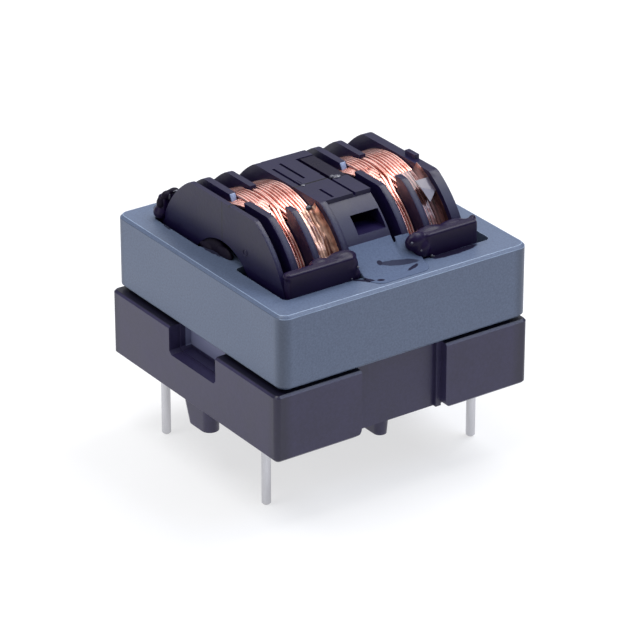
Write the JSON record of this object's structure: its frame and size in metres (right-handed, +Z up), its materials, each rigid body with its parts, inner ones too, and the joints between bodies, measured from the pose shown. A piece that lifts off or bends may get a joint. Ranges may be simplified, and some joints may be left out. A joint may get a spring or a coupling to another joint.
{
  "type": "common mode choke",
  "caption": "Common mode choke: flanged bobbin with copper windings on a closed ferrite core, glued to a moulded base with through-hole pins and stand-off feet.",
  "frame": {"origin": "centre of the base's plan, level with the tips of the pins", "axes": "+X along the winding axis, -Y is the front with the wide recess of the base, +Z up from the circuit board; the pins point along -Z"},
  "size_m": [0.0256, 0.025, 0.0249],
  "materials": {
    "ferrite": "satin, finely speckled, slate blue-grey coating",
    "base_plastic": "black moulded resin, satin",
    "bobbin_plastic": "black moulded resin, satin",
    "copper": "enamelled copper wire, glossy",
    "tape": "amber polyester film, glossy",
    "tinned_pin": "tin plated, satin",
    "bar_plastic": "black, glossy",
    "resin": "pale blue-grey resin, wet gloss"
  },
  "bodies": {
    "root": {"core": "ferrite", "base": "base_plastic", "bobbin_front": "bobbin_plastic", "bobbin_back": "bobbin_plastic", "winding_1": "copper", "winding_2": "copper", "tape_1": "tape", "tape_2": "tape", "pin_front_left": "tinned_pin", "pin_front_right": "tinned_pin", "pin_back_left": "tinned_pin", "pin_back_right": "tinned_pin", "lead_front_left": "copper", "lead_front_right": "copper", "lead_back_left": "copper", "lead_back_right": "copper", "retainer_front_left": "bar_plastic", "retainer_front_right": "bar_plastic", "retainer_back_left": "bar_plastic", "retainer_back_right": "bar_plastic", "resin_front": "resin", "resin_back": "resin", "resin_drop": "resin"}
  },
  "joints": []
}
